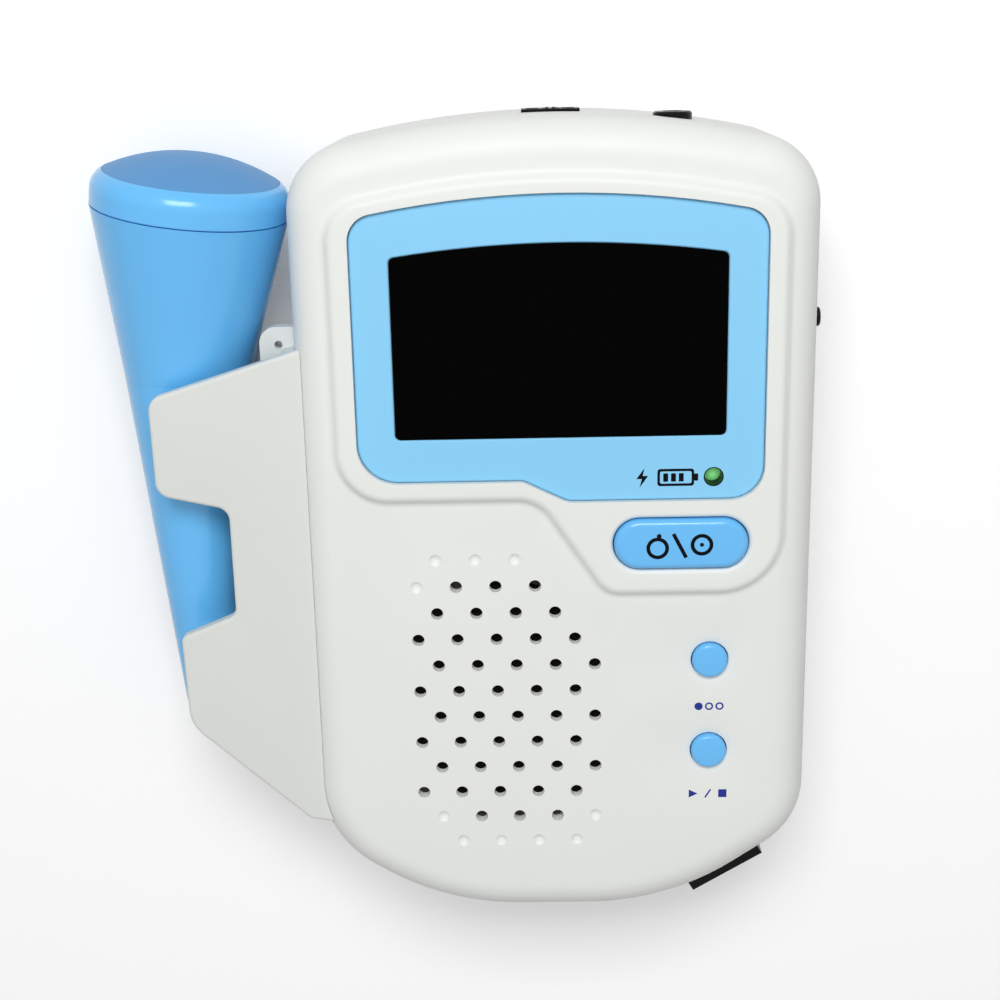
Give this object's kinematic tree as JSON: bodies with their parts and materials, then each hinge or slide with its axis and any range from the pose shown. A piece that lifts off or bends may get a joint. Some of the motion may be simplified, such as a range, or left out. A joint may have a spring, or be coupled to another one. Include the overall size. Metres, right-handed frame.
{
  "type": "fetal doppler monitor",
  "caption": "Hand-held doppler monitor: white case with display, speaker and buttons, and a blue horn-shaped probe in a side holder.",
  "frame": {"origin": "centre of the case's flat back face", "axes": "+Z out of the front, +Y to the case's top end, +X to the right of someone who reads the display"},
  "size_m": [0.1279, 0.1483, 0.0372],
  "materials": {
    "white_shell": "satin off-white moulded ABS",
    "holder_white": "satin off-white moulded ABS",
    "panel_blue": "satin light blue printed plate",
    "window_black": "polished black display window",
    "button_blue": "satin blue moulded caps",
    "probe_blue": "gloss blue moulded ABS",
    "face_blue": "matt grey-blue face",
    "led_green": "clear green lamp",
    "black_plastic": "black moulded plastic",
    "component_black": "moulded component bodies",
    "board_green": "solder-masked board",
    "lcd_grey": "display glass in a dark frame",
    "foam": "foam",
    "cloth_black": "black woven speaker cloth",
    "paper": "pressed paper cone",
    "magnet_dark": "ferrite and steel",
    "cell_wrap": "shrink-wrapped cells",
    "brass": "plated spring sheet",
    "plated": "plated",
    "steel": "zinc-plated steel",
    "rubber_black": "moulded rubber"
  },
  "bodies": {
    "case": {"front_shell": "white_shell", "rear_shell": "white_shell", "probe_holder": "holder_white", "front_panel": "panel_blue", "display_window": "window_black", "display_gasket": "foam", "lcd_module": "lcd_grey", "lcd_header": "black_plastic", "main_board": "board_green", "board_components": "component_black", "board_screws": "steel", "tact_switches": "black_plastic", "charge_light": "led_green", "light_sleeve": "black_plastic", "speaker_cloth": "cloth_black", "speaker_gasket": "foam", "speaker_frame": "steel", "speaker_cone": "paper", "speaker_magnet": "magnet_dark", "battery_cells": "cell_wrap", "battery_contacts": "brass", "volume_pot": "black_plastic", "volume_bezel": "black_plastic", "headphone_jack": "black_plastic", "jack_collar": "black_plastic", "charging_socket": "black_plastic", "probe_socket": "black_plastic", "socket_liner": "plated", "socket_contacts": "brass", "case_screws": "steel", "holder_screws": "steel"},
    "probe": {"probe_handle": "probe_blue", "probe_neck": "probe_blue", "probe_head": "probe_blue", "probe_face": "face_blue", "probe_crystals": "plated", "probe_backing": "foam", "probe_board": "board_green", "probe_gland": "rubber_black"},
    "power_key": {"power_button": "button_blue", "power_plunger": "black_plastic"},
    "mode_key": {"mode_button": "button_blue", "mode_plunger": "black_plastic"},
    "start_key": {"start_button": "button_blue", "start_plunger": "black_plastic"},
    "volume_thumbwheel": {"volume_wheel": "black_plastic"},
    "battery_cover": {"battery_door": "white_shell"}
  },
  "joints": [
    {"name": "power_press", "type": "slide", "parent": "case", "child": "power_key", "axis": [0, 0, -1], "range_m": [0, 0.0006], "stiffness_N_per_m": 1500},
    {"name": "mode_press", "type": "slide", "parent": "case", "child": "mode_key", "axis": [0, 0, -1], "range_m": [0, 0.0006], "stiffness_N_per_m": 1500},
    {"name": "start_press", "type": "slide", "parent": "case", "child": "start_key", "axis": [0, 0, -1], "range_m": [0, 0.0006], "stiffness_N_per_m": 1500},
    {"name": "volume_turn", "type": "hinge", "parent": "case", "child": "volume_thumbwheel", "pos_m": [0, 0.0665, 0.0162], "axis": [0, 0, 1], "range_deg": [-135, 135]},
    {"name": "probe_slide", "type": "slide", "parent": "case", "child": "probe", "axis": [0.0087, 1, 0], "range_m": [0, 0.12]},
    {"name": "battery_door_swing", "type": "hinge", "parent": "case", "child": "battery_cover", "pos_m": [0, 0.0523, 0.0003], "axis": [1, 0, 0], "range_deg": [0, 75]}
  ]
}
